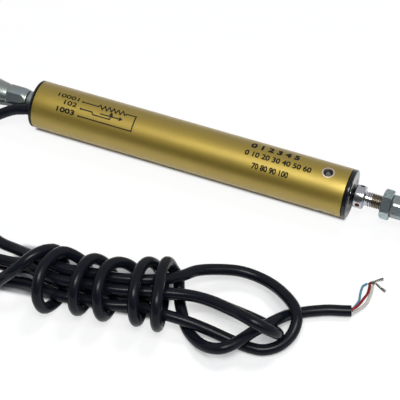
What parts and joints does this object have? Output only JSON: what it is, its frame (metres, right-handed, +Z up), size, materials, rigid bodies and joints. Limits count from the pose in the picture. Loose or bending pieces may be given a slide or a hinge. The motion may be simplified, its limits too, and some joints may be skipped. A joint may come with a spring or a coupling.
{
  "type": "linear potentiometer",
  "caption": "Cylindrical linear potentiometer with a gold anodised tube, a sliding rod, a ball-jointed rod end at each end and a black cable wound into a hank.",
  "frame": {"origin": "below the middle of the length from rod end to rod end, on the plane that the tube lies on, without the cable", "axes": "+X along the tube's axis towards the rod, +Z up, +Y away from the side that the cable leaves on"},
  "size_m": [0.2132, 0.1183, 0.0208],
  "materials": {
    "gold_anodised": "gold anodised, satin",
    "black_anodised": "black anodised, semi-gloss",
    "stainless_steel": "ground and polished",
    "zinc_plate": "zinc plated, pale blue grey",
    "blackened_steel": "blackened",
    "bearing_bronze": "plain bronze",
    "black_rubber": "matt",
    "cable_jacket": "black PVC with a satin sheen",
    "element_board": "glass-fibre laminate",
    "carbon_film": "conductive plastic film",
    "silver_film": "silvered",
    "carriage_plastic": "natural acetal",
    "white_core": "smooth insulation",
    "red_core": "smooth insulation",
    "blue_core": "smooth insulation",
    "tinned_copper": "twisted and tinned"
  },
  "bodies": {
    "housing": {"housing_tube": "gold_anodised", "front_cap": "black_anodised", "rear_cap": "black_anodised", "front_bearing": "bearing_bronze", "shaft_seal": "black_rubber", "front_o_ring": "black_rubber", "cap_screw_1": "blackened_steel", "cap_screw_2": "blackened_steel", "cap_screw_3": "blackened_steel", "element_board": "element_board", "resistive_track": "carbon_film", "collector_track": "silver_film", "terminal_pin_1": "silver_film", "terminal_pin_2": "silver_film", "terminal_pin_3": "silver_film", "inner_lead_white": "white_core", "inner_lead_red": "red_core", "inner_lead_blue": "blue_core", "cable_grommet": "black_rubber", "rear_stud": "zinc_plate", "rear_lock_collar": "zinc_plate", "rear_rod_end": "zinc_plate", "rear_race": "blackened_steel", "cable_lead": "cable_jacket", "hank_wraps": "cable_jacket", "hank_right_loops": "cable_jacket", "hank_left_loops": "cable_jacket", "cable_tail": "cable_jacket", "wire_red": "red_core", "wire_blue": "blue_core", "wire_white": "white_core", "strands_red": "tinned_copper", "strands_blue": "tinned_copper", "strands_white": "tinned_copper"},
    "carriage": {"wiper_carriage": "carriage_plastic", "track_wiper": "bearing_bronze", "collector_wiper": "bearing_bronze"},
    "rod": {"rod": "stainless_steel", "rod_clip": "zinc_plate", "jam_nut": "zinc_plate", "front_rod_end": "zinc_plate", "front_race": "blackened_steel"},
    "front_ball": {"front_ball": "stainless_steel"},
    "rear_ball": {"rear_ball": "stainless_steel"}
  },
  "joints": [
    {"name": "rod_slide", "type": "slide", "parent": "housing", "child": "carriage", "axis": [1, 0, 0], "range_m": [0, 0.052]},
    {"name": "rod_spin", "type": "hinge", "parent": "carriage", "child": "rod", "pos_m": [0, 0, 0.009], "axis": [1, 0, 0], "continuous": true},
    {"name": "front_ball_turn", "type": "hinge", "parent": "rod", "child": "front_ball", "pos_m": [0.0986, 0, 0.009], "axis": [0, 1, 0], "continuous": true},
    {"name": "rear_ball_turn", "type": "hinge", "parent": "housing", "child": "rear_ball", "pos_m": [-0.0986, 0, 0.009], "axis": [0, 0, 1], "continuous": true}
  ]
}
